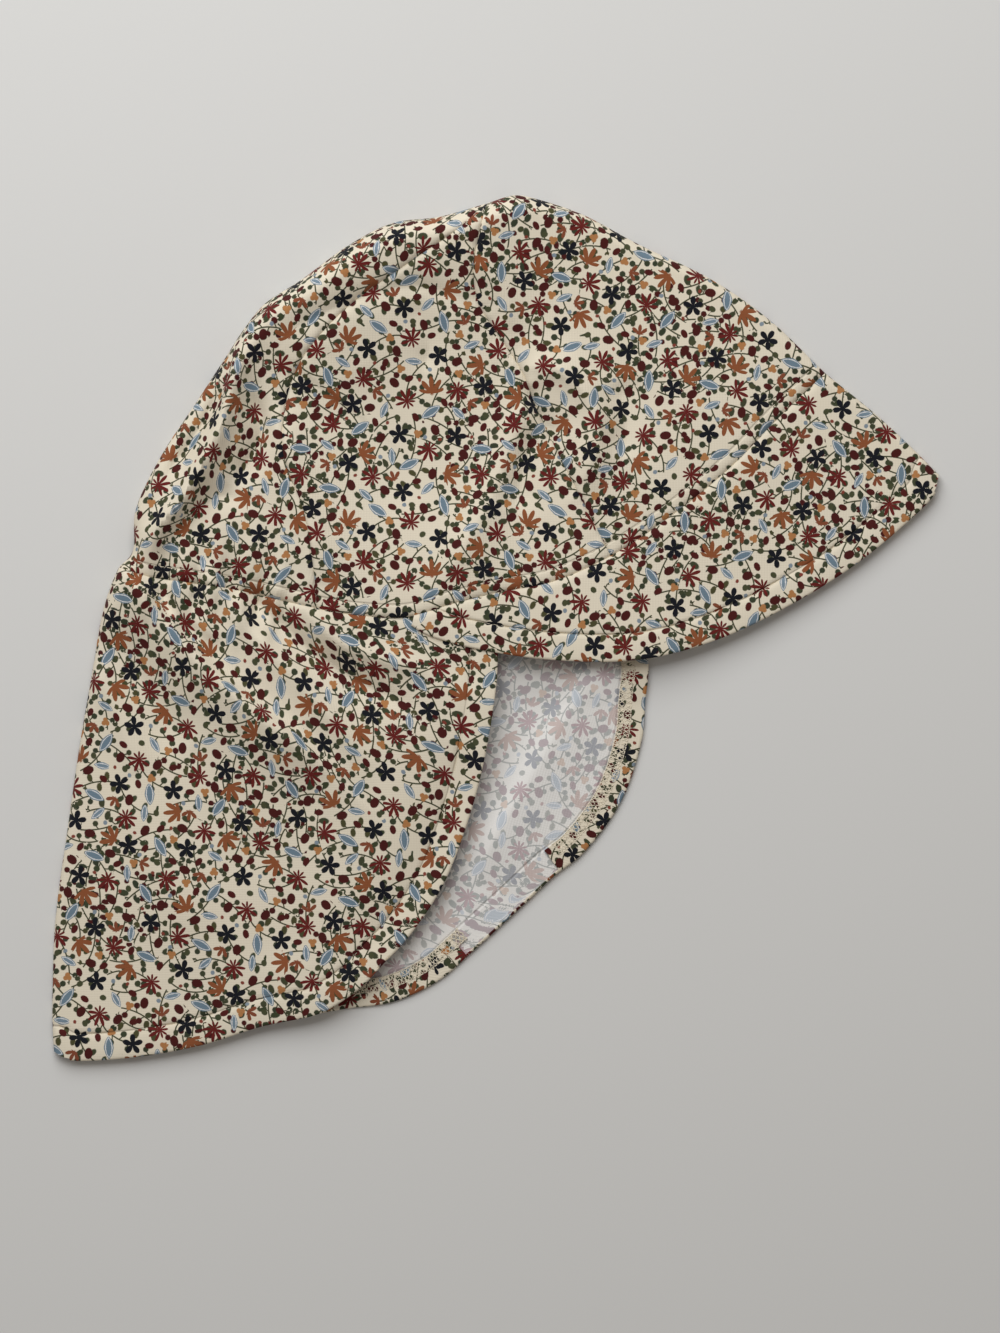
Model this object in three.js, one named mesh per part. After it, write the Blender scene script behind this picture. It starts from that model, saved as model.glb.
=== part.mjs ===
// A child's sun hat of thin stretch cloth, lying on its left side: a crown of six gores, a soft brim
// folded in half at the front, and a long neck flap folded in half at the back, gathered at the nape.
// Millimetres, +Z up. +X is towards the brim's tip and +Y towards the top of the crown. The hat rests
// on Z = 0, and the origin is in the middle of its underside.
import * as THREE from 'three';

// Driving sizes
const CLOTH = 1.2; // thickness of a cloth wall
const SEAM_GAP = 0.5; // between two pieces that are sewn together
const FOLD_GAP = 0.5; // between the upper and lower gores where they meet at a fold
const LAYER = CLOTH + 0.5; // from one layer to the next that lies on it
const LOWEST = CLOTH / 2; // height of the middle of the cloth that lies on the table
const FOLD_LEVEL = 0.42; // height of a fold's outer edge, as a share of the upper layer's height
const ROLL_BASE = 1.2; // width of a fold's round edge: this much
const ROLL_SHARE = 0.6; // and this share of the height that it rounds
const LAP_REACH = 16; // how far past the brim the flap under it takes to come back to its own level
const LAP_START = 6; // how far past the brim's edge that way back begins
const APEX_CLEAR = 2.4; // the gores end this far from the point where they would all meet
const BLEND = 24; // how far one row of HEIGHTS reaches

const GATHER_DEPTH = 1.1; // gathers of the elastic nape
const GATHER_PITCH = 15;
const GATHER_REACH = 13; // how far they run up the crown and down the flap
const GATHER_LENGTH = 62; // and how far along the seam from the nape

// Outlines seen from above, each from one end to the other. Columns: x, y
const OUTLINES = {
  lowerEdge: [
    [-124, 20], [-114, 17], [-100, 15], [-82, 12], [-65, 8], [-51, 5], [-29, 4], [-15, 8], [1, 12],
    [17, 15], [35, 22.5], [51, 32.5], [67.5, 45], [80, 56], [89, 65.5], [98.5, 75], [108, 84],
  ],
  centreFront: [
    [108, 84], [89, 102], [70, 115], [47, 126], [28, 136], [13, 141], [6, 142.2], [-3, 139.5],
  ],
  frontSideSeam: [
    [37.5, 24], [31, 36.5], [21, 56], [14, 70.5], [8.5, 84], [1.5, 95], [-6, 107], [-7.5, 117],
    [-6, 128], [-3, 139.5],
  ],
  backSideSeam: [
    [-59, 6.6], [-60, 20], [-63, 38], [-70, 59], [-66, 84], [-50, 104], [-28, 120], [-12, 131],
    [-3, 139.5],
  ],
  centreBack: [
    [-124, 20], [-119.5, 25], [-118.5, 38.5], [-111, 55], [-99, 73.5], [-87.5, 91], [-83, 98],
    [-76, 106.5], [-64.5, 114], [-48, 126], [-34, 133], [-19, 135], [-3, 139.5],
  ],
  brimFold: [[108, 84], [124, 71], [135, 61], [146, 50]],
  brimEdge: [
    [146, 50], [144.5, 44.5], [132, 32], [114, 18], [89, 3.5], [72, -4], [55, -9], [42, -10.8],
    [30, -11], [14, -10], [0, -8], [-14, -5], [-24, -1.5], [-28, 1],
  ],
  flapFold: [
    [-124, 20], [-127, 13], [-129.5, 4.5], [-133, -15.5], [-137, -38.5], [-141, -66], [-145, -95.5],
    [-146, -119], [-146, -131], [-145.5, -140],
  ],
  upperHem: [
    [-145.5, -140], [-142, -142], [-124, -141.8], [-98, -137.5], [-77, -131], [-59, -127],
    [-53, -124], [-44, -117.5], [-37, -110],
  ],
  upperFront: [
    [1, 12], [0.5, -8], [0, -18.5], [-4, -43], [-10, -65], [-18, -85], [-29.5, -102], [-37, -110],
  ],
  lowerHem: [
    [-145.5, -140], [-124, -140.5], [-98, -136.5], [-77, -131], [-51, -125.5], [-34, -123],
    [-19, -116], [-8.5, -107], [9.5, -90.5],
  ],
  lowerFront: [
    [37.5, 24], [46, 5], [50, -11], [49, -24], [48, -36], [41, -57], [28.5, -74], [19, -81.5],
    [9.5, -90.5],
  ],
};

// Height of the middle of the upper layer's cloth. Columns: x, y, height
const HEIGHTS = [
  [-3, 130, 11], [47, 116, 8], [90, 90, 5.5], [130, 56, 3.4], [112, 32, 3.6], [72, 15, 5.5],
  [34, -4, 9.5], [0, -8, 11], [62, 62, 8], [20, 60, 13], [-30, 62, 15], [-60, 75, 15],
  [-92, 62, 13], [-34, 112, 12], [-110, 30, 9], [-60, 15, 12], [-20, 8, 12.5], [-100, -20, 8],
  [-60, -20, 10], [-6, -30, 11], [-134, -60, 4.4], [-90, -70, 6], [-50, -70, 8], [-15, -78, 9.5],
  [-140, -128, 3.2], [-90, -128, 4], [-42, -112, 8.5],
];

// Ridges (rise above 0) and valleys (below 0) of the upper layer. Columns: rise, reach, path
const FOLDS = [
  [8, 9.5, [[-78, 97], [-64, 106], [-34, 122], [-6, 130]]], // roll along the back of the crown
  [-4.5, 7, [[-72, 88], [-48, 99], [-22, 100], [0, 107]]], // hollow under that roll
  [7, 6, [[-82, 94], [-89, 76], [-101, 50], [-112, 27]]], // ridge down to the nape
  [-3.5, 5, [[-108, 62], [-100, 76]]], // dip behind that ridge
  [-3.5, 6, [[-88, 58], [-92, 40]]],
  [3, 6, [[-71, 60], [-63, 36], [-59, 12]]], // the back side seam stands up
  [4, 7, [[11, 82], [8, 69], [-2, 43], [-12, 24]]], // star of soft buckles on the side gore
  [3.5, 6, [[16, 82], [33, 75], [31, 56]]],
  [-3, 6, [[11, 64], [5, 38]]],
  [-2.5, 6, [[17, 62], [28, 40]]],
  [-2, 8, [[42, 72], [49, 62]]],
  [5, 9, [[-117, 12], [-98, -7], [-81, -30], [-55, -56]]], // long soft fold down the flap
  [-2.5, 9, [[-122, -10], [-108, -32]]],
  [-4, 7, [[-60, 1], [-42, -17], [-31, -24]]],
  [1.5, 8, [[-120, -60], [-100, -100]]],
  [-1.5, 8, [[-75, -75], [-66, -108]]],
];

// Ridge of the lower layer of the flap, same columns
const LOWER_FOLDS = [[1.8, 5, [[31, -16], [24, -30], [11, -52], [-1, -76]]]];

// Cloth panels across the lower edge of the hat, from the nape to the front. Columns: x where it
// ends, number of strips
const SPANS = [
  [-123.2, 1], [-121, 1], [-59, 15], [-27, 5], [1, 5], [37.5, 6], [96, 8], [104, 2], [107.2, 1],
  [108, 1],
];
const UPPER_ROWS = 15; // strips of a gore from its lower edge to the top
const LOWER_ROWS = 9;
const BRIM_ROWS = 6;
const FLAP_ROWS = 15;

const SEAM_SAMPLES = 200; // points on the lower edge when distances to it are measured
const PATH_SAMPLES = 90; // and on each other outline
const SLOPE_STEP = 0.2; // the slope of a layer is measured over this distance each way
const FLATTEST = 0.02; // least roundness that a fold's slope is worked out with

const COLOURS = { crown: 0xd9b99a, brim: 0xd2ae8e, flap: 0xd9bfa4 };

// Curves and distances in plan
const curves = Object.fromEntries(
  Object.entries(OUTLINES).map(([name, rows]) => {
    const points = rows.map(([x, y]) => new THREE.Vector3(x, y, 0));
    return [name, new THREE.CatmullRomCurve3(points, false, 'centripetal')];
  }),
);

function at(name, share) {
  return curves[name].getPointAt(THREE.MathUtils.clamp(share, 0, 1));
}

function polyline(name, count = PATH_SAMPLES) {
  return curves[name].getSpacedPoints(count);
}

// The nearest point of a path to (x, y): how far it is, how far along, and the way back to (x, y)
function nearest(path, x, y) {
  const best = { distance: Infinity };
  let walked = 0;
  for (let i = 0; i + 1 < path.length; i++) {
    const a = path[i];
    const dx = path[i + 1].x - a.x;
    const dy = path[i + 1].y - a.y;
    const long = Math.hypot(dx, dy);
    const share = THREE.MathUtils.clamp(((x - a.x) * dx + (y - a.y) * dy) / long ** 2, 0, 1);
    const outX = x - a.x - share * dx;
    const outY = y - a.y - share * dy;
    const distance = Math.hypot(outX, outY);
    if (distance < best.distance) {
      const length = distance || 1;
      Object.assign(best, { distance, along: walked + share * long });
      Object.assign(best, { wayX: outX / length, wayY: outY / length });
    }
    walked += long;
  }
  return best;
}

function inside(path, x, y) {
  let odd = false;
  for (let i = 0, j = path.length - 1; i < path.length; j = i++) {
    const a = path[i];
    const b = path[j];
    if (a.y > y !== b.y > y && x < a.x + ((y - a.y) * (b.x - a.x)) / (b.y - a.y)) odd = !odd;
  }
  return odd;
}

const foldLine = [
  ...polyline('brimFold').reverse(),
  ...polyline('centreFront').slice(1),
  ...polyline('centreBack').reverse().slice(1),
  ...polyline('flapFold').slice(1),
];
const seamLine = polyline('lowerEdge', SEAM_SAMPLES);

// Share of the way along the lower edge where it reaches x
function edgeShare(x) {
  let low = 0;
  let high = 1;
  for (let i = 0; i < 40; i++) {
    const middle = (low + high) / 2;
    if (at('lowerEdge', middle).x < x) low = middle;
    else high = middle;
  }
  return (low + high) / 2;
}

const BRIM_END = edgeShare(-27);
const FLAP_FRONT = edgeShare(1);
const BACK_SEAM = edgeShare(-59);
const FRONT_SEAM = edgeShare(37.5);

const brimOutline = [
  ...seamLine.slice(Math.round(BRIM_END * SEAM_SAMPLES)),
  ...polyline('brimFold').slice(1),
  ...polyline('brimEdge').slice(1),
];

// The stations along the lower edge where every piece that is sewn there has a corner
const stations = [0];
SPANS.forEach(([x, strips]) => {
  const start = stations.at(-1);
  const end = x < OUTLINES.lowerEdge.at(-1)[0] ? edgeShare(x) : 1;
  for (let i = 1; i <= strips; i++) stations.push(start + ((end - start) * i) / strips);
});

function stationsBetween(low, high) {
  return stations.filter((s) => s > low - 1e-6 && s < high + 1e-6);
}

// Heights
const foldPaths = (rows) =>
  rows.map(([rise, reach, path]) => ({
    rise,
    reach,
    path: path.map(([x, y]) => ({ x, y })),
  }));
const upperFolds = foldPaths(FOLDS);
const lowerFolds = foldPaths(LOWER_FOLDS);

function folds(rows, x, y) {
  return rows.reduce((sum, { rise, reach, path }) => {
    return sum + rise * Math.exp(-((nearest(path, x, y).distance / reach) ** 2));
  }, 0);
}

function plainHeight(x, y) {
  let sum = 0;
  let weights = 0;
  HEIGHTS.forEach(([hx, hy, height]) => {
    const weight = Math.exp(-((x - hx) ** 2 + (y - hy) ** 2) / (2 * BLEND ** 2));
    sum += weight * height;
    weights += weight;
  });
  return sum / weights;
}

function gathers(x, y) {
  const { distance, along } = nearest(seamLine, x, y);
  const fade = THREE.MathUtils.smoothstep(GATHER_LENGTH - along, 0, GATHER_PITCH);
  const wave = Math.cos((2 * Math.PI * along) / GATHER_PITCH);
  return GATHER_DEPTH * wave * fade * Math.exp(-((distance / GATHER_REACH) ** 2));
}

// 1 where the flap lies under the brim, and 0 a little way past the brim's edge
function lap(x, y) {
  if (inside(brimOutline, x, y)) return 1;
  const { distance } = nearest(brimOutline, x, y);
  return 1 - THREE.MathUtils.smoothstep(distance, LAP_START, LAP_REACH);
}

const crestHeight = (x, y) => plainHeight(x, y) + folds(upperFolds, x, y) + gathers(x, y);

// The layers: which way the outside of the cloth faces, how far the edge at a fold is moved up or
// down, and the height away from the folds
const LAYERS = {
  upper: { face: 1, lift: 0, height: crestHeight },
  upperGore: { face: 1, lift: FOLD_GAP / 2, height: crestHeight },
  upperFlap: { face: 1, lift: 0, height: (x, y) => crestHeight(x, y) - LAYER * lap(x, y) },
  lower: { face: -1, lift: 0, height: () => LOWEST },
  lowerGore: { face: -1, lift: -FOLD_GAP / 2, height: () => LOWEST },
  lowerFlap: {
    face: -1,
    lift: 0,
    height: (x, y) => LOWEST + LAYER * lap(x, y) + folds(lowerFolds, x, y),
  },
};

// A point of a layer and the way out of the cloth there. Near a fold the cloth turns down, or up,
// in a quarter of an ellipse to the fold's edge.
function layerPoint(layer, x, y) {
  const top = layer.height(x, y);
  const rise = (dx, dy) => layer.height(x + dx, y + dy) - layer.height(x - dx, y - dy);
  const slopeX = rise(SLOPE_STEP, 0) / (2 * SLOPE_STEP);
  const slopeY = rise(0, SLOPE_STEP) / (2 * SLOPE_STEP);
  const edge = LOWEST + FOLD_LEVEL * (plainHeight(x, y) - LOWEST) + layer.lift;
  const { distance, wayX, wayY } = nearest(foldLine, x, y);
  const width = ROLL_BASE + ROLL_SHARE * Math.abs(top - edge);
  const away = 1 - Math.min(distance / width, 1);
  const round = Math.sqrt(1 - away ** 2);
  const fall = ((top - edge) * away) / (width * Math.max(round, FLATTEST));
  const out = new THREE.Vector3(-slopeX * round - fall * wayX, -slopeY * round - fall * wayY, 1);
  return {
    place: new THREE.Vector3(x, y, edge + (top - edge) * round),
    out: out.multiplyScalar(layer.face).normalize(),
  };
}

// On the fold itself the cloth stands upright and faces away from the hat, which is to the left of
// the outline (turn 1) or to its right (-1)
function foldPoint(layer, point, name, share, turn) {
  const along = curves[name].getTangentAt(THREE.MathUtils.clamp(share, 0, 1));
  const edge = LOWEST + FOLD_LEVEL * (plainHeight(point.x, point.y) - LOWEST) + layer.lift;
  return {
    place: new THREE.Vector3(point.x, point.y, edge),
    out: new THREE.Vector3(-along.y * turn, along.x * turn, 0).normalize(),
  };
}

// A closed wall round the middle of the cloth, given as a grid of points with the way out at each
function wall(name, grid, colour) {
  const rows = grid.length;
  const columns = grid[0].length;
  const skin = (side) =>
    grid.flat().map(({ place, out }) => place.clone().addScaledVector(out, (side * CLOTH) / 2));
  const points = [...skin(1), ...skin(-1)];
  const outer = (i, j) => i * columns + j;
  const inner = (i, j) => rows * columns + outer(i, j);
  const down = points[outer(1, 0)].clone().sub(points[0]);
  const along = points[outer(0, 1)].clone().sub(points[0]);
  const turned = down.cross(along).dot(grid[0][0].out) < 0;
  const index = [];
  const quad = (a, b, c, d) => index.push(...(turned ? [a, c, b, a, d, c] : [a, b, c, a, c, d]));
  for (let i = 0; i + 1 < rows; i++) {
    for (let j = 0; j + 1 < columns; j++) {
      quad(outer(i, j), outer(i + 1, j), outer(i + 1, j + 1), outer(i, j + 1));
      quad(inner(i, j), inner(i, j + 1), inner(i + 1, j + 1), inner(i + 1, j));
    }
  }
  for (let i = 0; i + 1 < rows; i++) {
    const last = columns - 1;
    quad(outer(i + 1, 0), outer(i, 0), inner(i, 0), inner(i + 1, 0));
    quad(outer(i, last), outer(i + 1, last), inner(i + 1, last), inner(i, last));
  }
  for (let j = 0; j + 1 < columns; j++) {
    const last = rows - 1;
    quad(outer(0, j), outer(0, j + 1), inner(0, j + 1), inner(0, j));
    quad(outer(last, j + 1), outer(last, j), inner(last, j), inner(last, j + 1));
  }
  const geometry = new THREE.BufferGeometry().setFromPoints(points);
  geometry.setIndex(index);
  geometry.computeVertexNormals();
  const cloth = new THREE.MeshStandardMaterial({ color: colour, roughness: 0.9, metalness: 0 });
  const mesh = new THREE.Mesh(geometry, cloth);
  mesh.name = name;
  return mesh;
}

// A point of an outline moved sideways by half the seam gap, to its left (side 1) or right (-1)
function beside(name, share, side) {
  const point = at(name, share);
  const along = curves[name].getTangentAt(THREE.MathUtils.clamp(share, 0, 1));
  point.x -= (along.y * side * SEAM_GAP) / 2;
  point.y += (along.x * side * SEAM_GAP) / 2;
  return point;
}

const crownEdge = (share) => beside('lowerEdge', share, 1);
const sewnEdge = (share) => beside('lowerEdge', share, -1);

// Share of the way down an outline from the lower edge, starting half a seam gap away from it
function pastSeam(name, share) {
  const start = SEAM_GAP / 2 / curves[name].getLength();
  return start + (1 - start) * share;
}

// The point of a patch between four sides, each given as a function of its own share
function patch({ top, bottom, left, right }, u, v) {
  const point = top(u).multiplyScalar(1 - v);
  point.addScaledVector(bottom(u), v);
  point.addScaledVector(left(v), 1 - u);
  point.addScaledVector(right(v), u);
  point.addScaledVector(top(0), -(1 - u) * (1 - v));
  point.addScaledVector(top(1), -u * (1 - v));
  point.addScaledVector(bottom(0), -(1 - u) * v);
  point.addScaledVector(bottom(1), -u * v);
  return point;
}

// A crown gore between two seams, from the lower edge up to the top of the crown
const GORES = {
  back: { from: 'centreBack', to: 'backSideSeam', start: 0, end: BACK_SEAM, fold: 'from' },
  side: { from: 'backSideSeam', to: 'frontSideSeam', start: BACK_SEAM, end: FRONT_SEAM },
  front: { from: 'frontSideSeam', to: 'centreFront', start: FRONT_SEAM, end: 1, fold: 'to' },
};

function gore(name, side, layer, rows) {
  const { from, to, start, end, fold } = GORES[name];
  const rise = (outline, v) => {
    const foot = SEAM_GAP / 2 / curves[outline].getLength();
    const peak = 1 - APEX_CLEAR / curves[outline].getLength();
    return foot + (peak - foot) * v;
  };
  const edge = (outline, v, turn, folded) =>
    folded ? at(outline, rise(outline, v)) : beside(outline, rise(outline, v), turn);
  const left = (v) => edge(from, v, -1, fold === 'from');
  const right = (v) => edge(to, v, 1, fold === 'to');
  const sides = {
    top: (u) => crownEdge(start + (end - start) * u),
    bottom: (u) => left(1).lerp(right(1), u),
    left,
    right,
  };
  const columns = stationsBetween(start, end);
  const grid = [];
  for (let i = 0; i <= rows; i++) {
    grid.push(
      columns.map((station, j) => {
        const v = i / rows;
        const point = patch(sides, (station - start) / (end - start), v);
        if (fold === 'from' && j === 0) return foldPoint(layer, point, from, rise(from, v), 1);
        if (fold === 'to' && j === columns.length - 1) {
          return foldPoint(layer, point, to, rise(to, v), -1);
        }
        return layerPoint(layer, point.x, point.y);
      }),
    );
  }
  return wall(`crown_${name}_${side}`, grid, COLOURS.crown);
}

// A piece folded in half: its columns run from one half's end, over the fold, to the other's
function folded(name, fold, rows, halves, colour) {
  const grid = [];
  for (let i = 0; i <= rows; i++) {
    const v = i / rows;
    const half = ({ layer, sides, shares }) =>
      shares.map((u) => {
        const point = patch(sides, u, v);
        return layerPoint(layer, point.x, point.y);
      });
    const [upper, lower] = halves.map(half);
    const edge = fold.line(v);
    const middle = foldPoint(halves[0].layer, edge, fold.name, fold.share(v), fold.turn);
    grid.push([...upper.reverse(), middle, ...lower]);
  }
  return wall(name, grid, colour);
}

const brimSides = {
  top: (u) => sewnEdge(1 - u * (1 - BRIM_END)),
  bottom: (u) => at('brimEdge', u),
  left: (v) => at('brimFold', pastSeam('brimFold', v)),
  right: (v) => sewnEdge(BRIM_END).lerp(at('brimEdge', 1), v),
};
const brimShares = stationsBetween(BRIM_END, 1)
  .reverse()
  .map((s) => (1 - s) / (1 - BRIM_END))
  .slice(1);
const brimFold = {
  name: 'brimFold',
  line: brimSides.left,
  share: (v) => pastSeam('brimFold', v),
  turn: 1,
};

function flapSides(front, hem, end) {
  return {
    top: (u) => sewnEdge(u * end),
    bottom: (u) => at(hem, u),
    left: (v) => at('flapFold', pastSeam('flapFold', v)),
    right: (v) => at(front, pastSeam(front, v)),
  };
}

function flapHalf(layer, front, hem, end) {
  const shares = stationsBetween(0, end).map((s) => s / end);
  return { layer, sides: flapSides(front, hem, end), shares: shares.slice(1) };
}
const flapFold = {
  name: 'flapFold',
  line: (v) => at('flapFold', pastSeam('flapFold', v)),
  share: (v) => pastSeam('flapFold', v),
  turn: -1,
};

const hat = new THREE.Group();
Object.keys(GORES).forEach((name) => {
  hat.add(gore(name, 'right', LAYERS.upperGore, UPPER_ROWS));
  hat.add(gore(name, 'left', LAYERS.lowerGore, LOWER_ROWS));
});
hat.add(
  folded('brim', brimFold, BRIM_ROWS, [
    { layer: LAYERS.upper, sides: brimSides, shares: brimShares },
    { layer: LAYERS.lower, sides: brimSides, shares: brimShares },
  ], COLOURS.brim),
  folded('neck_flap', flapFold, FLAP_ROWS, [
    flapHalf(LAYERS.upperFlap, 'upperFront', 'upperHem', FLAP_FRONT),
    flapHalf(LAYERS.lowerFlap, 'lowerFront', 'lowerHem', FRONT_SEAM),
  ], COLOURS.flap),
);

// The origin goes to the middle of the underside
const box = new THREE.Box3().setFromObject(hat);
const middle = box.getCenter(new THREE.Vector3());
hat.position.set(-middle.x, -middle.y, -box.min.z);

export default hat;
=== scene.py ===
# A child's sun hat of thin printed jersey, lying on its left side on a pale table. Outlines and heights
# are in millimetres, from the outlines' own zero, until a mesh is written: that puts it in metres, in
# the part's frame. Six crown gores, a brim folded in half and a neck flap folded in half.
import functools
import math

import bpy
import numpy as np
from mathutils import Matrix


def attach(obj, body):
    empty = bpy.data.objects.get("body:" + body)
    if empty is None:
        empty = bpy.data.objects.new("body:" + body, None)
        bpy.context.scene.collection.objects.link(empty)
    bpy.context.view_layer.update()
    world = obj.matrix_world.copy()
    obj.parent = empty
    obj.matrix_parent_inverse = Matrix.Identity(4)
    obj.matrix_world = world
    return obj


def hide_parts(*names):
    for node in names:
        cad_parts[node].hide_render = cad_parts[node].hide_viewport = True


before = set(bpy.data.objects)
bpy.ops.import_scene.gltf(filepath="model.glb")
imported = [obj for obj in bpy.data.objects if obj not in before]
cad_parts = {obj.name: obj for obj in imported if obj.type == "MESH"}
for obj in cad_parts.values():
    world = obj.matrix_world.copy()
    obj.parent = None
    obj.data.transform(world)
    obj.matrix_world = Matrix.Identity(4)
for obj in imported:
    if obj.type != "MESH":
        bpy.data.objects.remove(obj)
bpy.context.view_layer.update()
bpy.ops.object.select_all(action="DESELECT")

MM = 0.001
SHIFT = np.array([0.1085, -0.1526])  # from the outlines' zero to the middle of the hat

# Cloth and layers
CLOTH = 0.7  # thickness of the jersey
SEAM_GAP = 0.16  # between two pieces where they are sewn together
FOLD_GAP = 0.2  # between the upper and lower gores along the seams at the outside of the hat
LAYER = 1.15  # from one layer to the next that lies on it
LOWEST = CLOTH / 2 + 0.02  # middle of the cloth that lies on the table
FOLD_LEVEL = 0.42  # height of a fold's outer edge, as a share of the upper layer's height
ROLL_BASE = 1.2  # width of a fold's round edge: this much
ROLL_SHARE = 0.5  # and this share of the height that it rounds
LAP_START = 6  # the flap comes out from under the brim between these two distances
LAP_REACH = 16
BLEND = 24  # how far one row of HEIGHTS reaches

# Seams and hems
SEAM_DIP = 1.5  # how far the cloth is drawn down at a seam
SEAM_REACH = 0.7
PUCKER = 0.22  # small waves that the thread draws into the cloth beside a seam
PUCKER_PITCH = 5.5
PUCKER_REACH = 4.5
TOPSTITCH = 4.0  # from the seam to the row of stitches on the crown above it
TOPSTITCH_DIP = 0.16  # how far that row draws the cloth down
TOPSTITCH_REACH = 0.6
HEM = 9.0  # width of a turned hem
HEM_BEND = 0.38  # radius of the middle of the cloth where it turns
HEM_SWELL = 0.25
HEM_DIP = 0.7  # how far the hem's stitches draw the cloth down
HEM_DIP_REACH = 0.55
HEM_CLEAR = 5.0  # the turned hem stops this far from the fold, where it would meet itself

# Gathers at the nape
GATHER_DEPTH = 1.5
GATHER_PITCH = 10.5
GATHER_REACH = 14  # how far they run up the crown and down the flap
GATHER_LENGTH = 62  # how far along the seam from the nape
FINE_DEPTH = 0.9  # the finer ones between them
FINE_PITCH = 5.2
FINE_REACH = 8

# Outlines seen from above, each from one end to the other. Columns: x, y
OUTLINES = {
    "lower_edge": [
        [-124, 20], [-114, 17], [-100, 15], [-82, 12], [-65, 8], [-51, 5], [-29, 4], [-15, 8], [1, 12],
        [17, 15], [35, 22.5], [51, 32.5], [67.5, 45], [80, 56], [89, 65.5], [98.5, 75], [108, 84],
    ],
    "centre_front": [
        [108, 84], [89, 102], [70, 115], [47, 126], [28, 136], [13, 141], [6, 142.2], [-3, 139.5],
    ],
    "front_side_seam": [
        [37.5, 24], [31, 36.5], [21, 56], [14, 70.5], [8.5, 84], [1.5, 95], [-6, 107], [-7.5, 117],
        [-6, 128], [-3, 139.5],
    ],
    "back_side_seam": [
        [-59, 6.6], [-60, 20], [-63, 38], [-70, 59], [-66, 84], [-50, 104], [-28, 120], [-12, 131],
        [-3, 139.5],
    ],
    "centre_back": [
        [-124, 20], [-119.5, 25], [-118.5, 38.5], [-111, 55], [-99, 73.5], [-87.5, 91], [-83, 98],
        [-76, 106.5], [-64.5, 114], [-48, 126], [-34, 133], [-19, 135], [-3, 139.5],
    ],
    "brim_fold": [[108, 84], [124, 71], [135, 61], [146, 50]],
    "brim_edge": [
        [146, 50], [144.5, 44.5], [132, 32], [114, 18], [89, 3.5], [72, -4], [55, -9], [42, -10.8],
        [30, -11], [14, -10], [0, -8], [-14, -5], [-24, -1.5], [-28, 1],
    ],
    "flap_fold": [
        [-124, 20], [-127, 13], [-129.5, 4.5], [-133, -15.5], [-137, -38.5], [-141, -66], [-145, -95.5],
        [-146, -119], [-146, -131], [-145.5, -140],
    ],
    "upper_hem": [
        [-145.5, -140], [-142, -142], [-124, -141.8], [-98, -137.5], [-77, -131], [-59, -127],
        [-53, -124], [-44, -117.5], [-37, -110],
    ],
    "upper_front": [
        [1, 12], [0.5, -8], [0, -18.5], [-4, -43], [-10, -65], [-18, -85], [-29.5, -102], [-37, -110],
    ],
    "lower_hem": [
        [-145.5, -140], [-124, -140.5], [-98, -136.5], [-77, -131], [-51, -125.5], [-34, -123],
        [-19, -116], [-8.5, -107], [9.5, -90.5],
    ],
    "lower_front": [
        [37.5, 24], [46, 5], [50, -11], [49, -24], [48, -36], [41, -57], [28.5, -74], [19, -81.5],
        [9.5, -90.5],
    ],
}
SEAMS = ["lower_edge", "front_side_seam", "back_side_seam"]
# Places on the lower edge, by their x
BRIM_END = -27
BRIM_BACK = -29  # all of the brim is past this
BACK_SEAM = -59
FLAP_FRONT = 1
FRONT_SEAM = 37.5

# Height of the middle of the upper layer. Columns: x, y, height
HEIGHTS = np.array([
    [-3, 130, 12], [47, 116, 8], [90, 90, 5.5], [130, 56, 3.4], [112, 32, 3.6], [72, 15, 5.5],
    [34, -4, 9], [0, -8, 10.5], [62, 62, 8], [20, 60, 8.3], [-8, 90, 6.8], [-30, 60, 5.6], [-60, 76, 9.4],
    [-92, 62, 12.5], [-44, 114, 15], [-110, 30, 9], [-60, 15, 10.2], [-20, 8, 9.6], [-100, -20, 8],
    [-60, -20, 10], [-6, -30, 10], [-134, -60, 4.4], [-90, -70, 6], [-50, -70, 8], [-15, -78, 8.5],
    [-140, -128, 3.2], [-90, -128, 4], [-42, -112, 7.5],
])

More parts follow.
